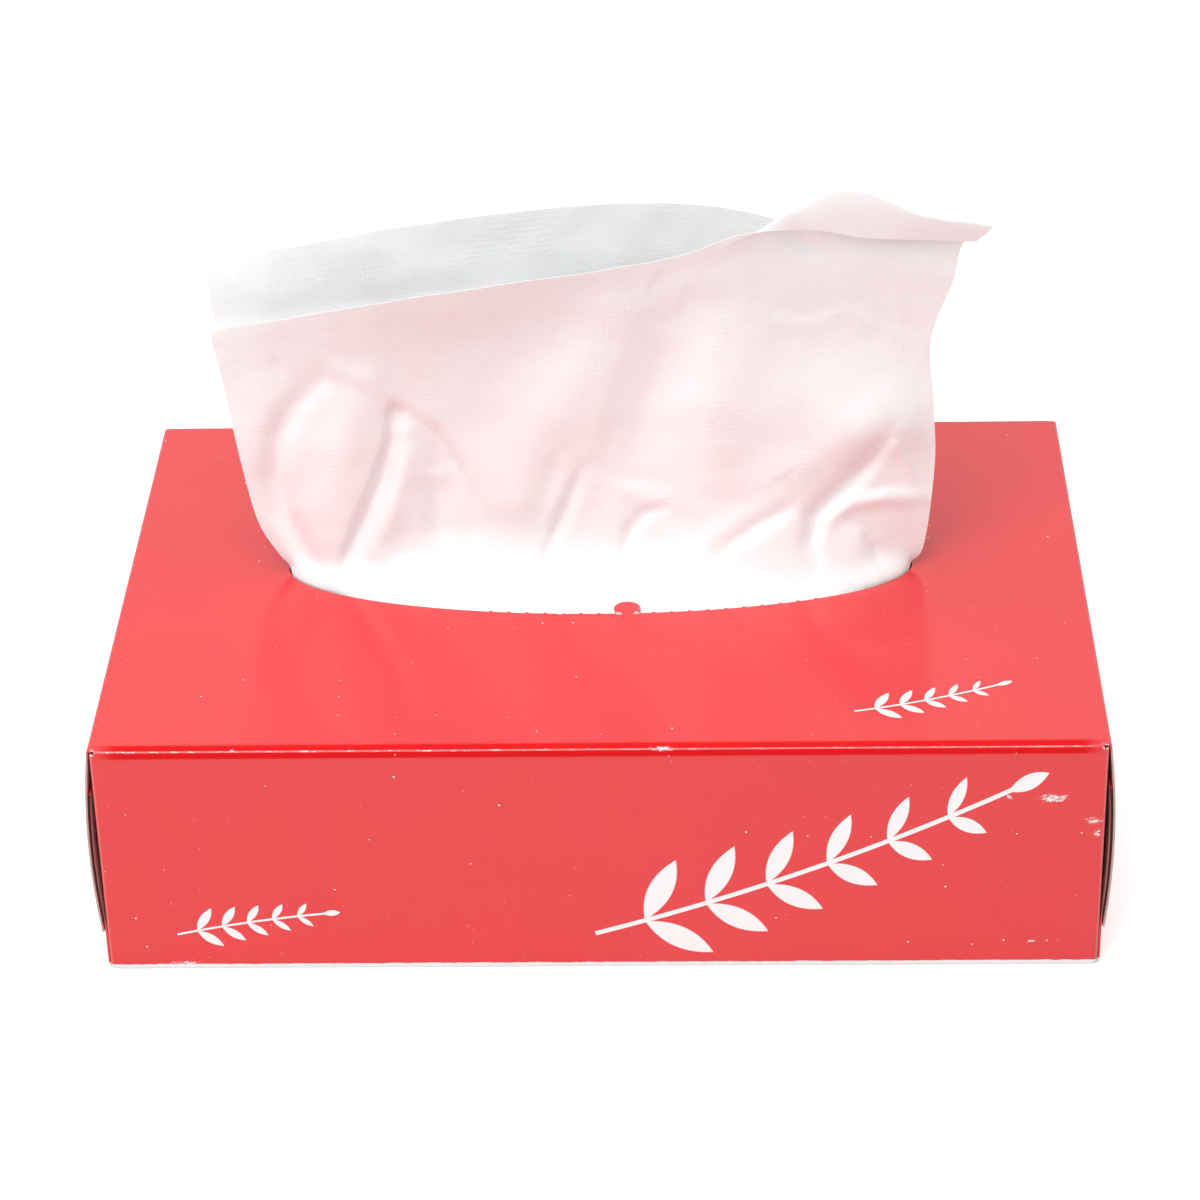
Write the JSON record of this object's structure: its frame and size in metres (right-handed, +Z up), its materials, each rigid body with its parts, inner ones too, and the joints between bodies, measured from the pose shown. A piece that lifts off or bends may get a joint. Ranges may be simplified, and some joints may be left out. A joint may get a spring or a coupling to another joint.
{
  "type": "tissue box",
  "caption": "Flat folding carton of interfolded paper tissues with an oval opening in its top, from which two thin tissues stand up one behind the other.",
  "frame": {"origin": "middle of the carton's underside", "axes": "+Z up, +X along the carton's length to the right, the front panel faces -Y"},
  "size_m": [0.2124, 0.139, 0.142],
  "materials": {
    "printed_board": "glossy red print outside, plain board inside",
    "tissue": "soft matt two-ply tissue",
    "glue": "dried glue"
  },
  "bodies": {
    "root": {"carton": "printed_board", "tissue_stack": "tissue", "front_tissue": "tissue", "back_tissue": "tissue", "seam_glue": "glue", "left_flap_glue": "glue", "right_flap_glue": "glue"}
  },
  "joints": []
}
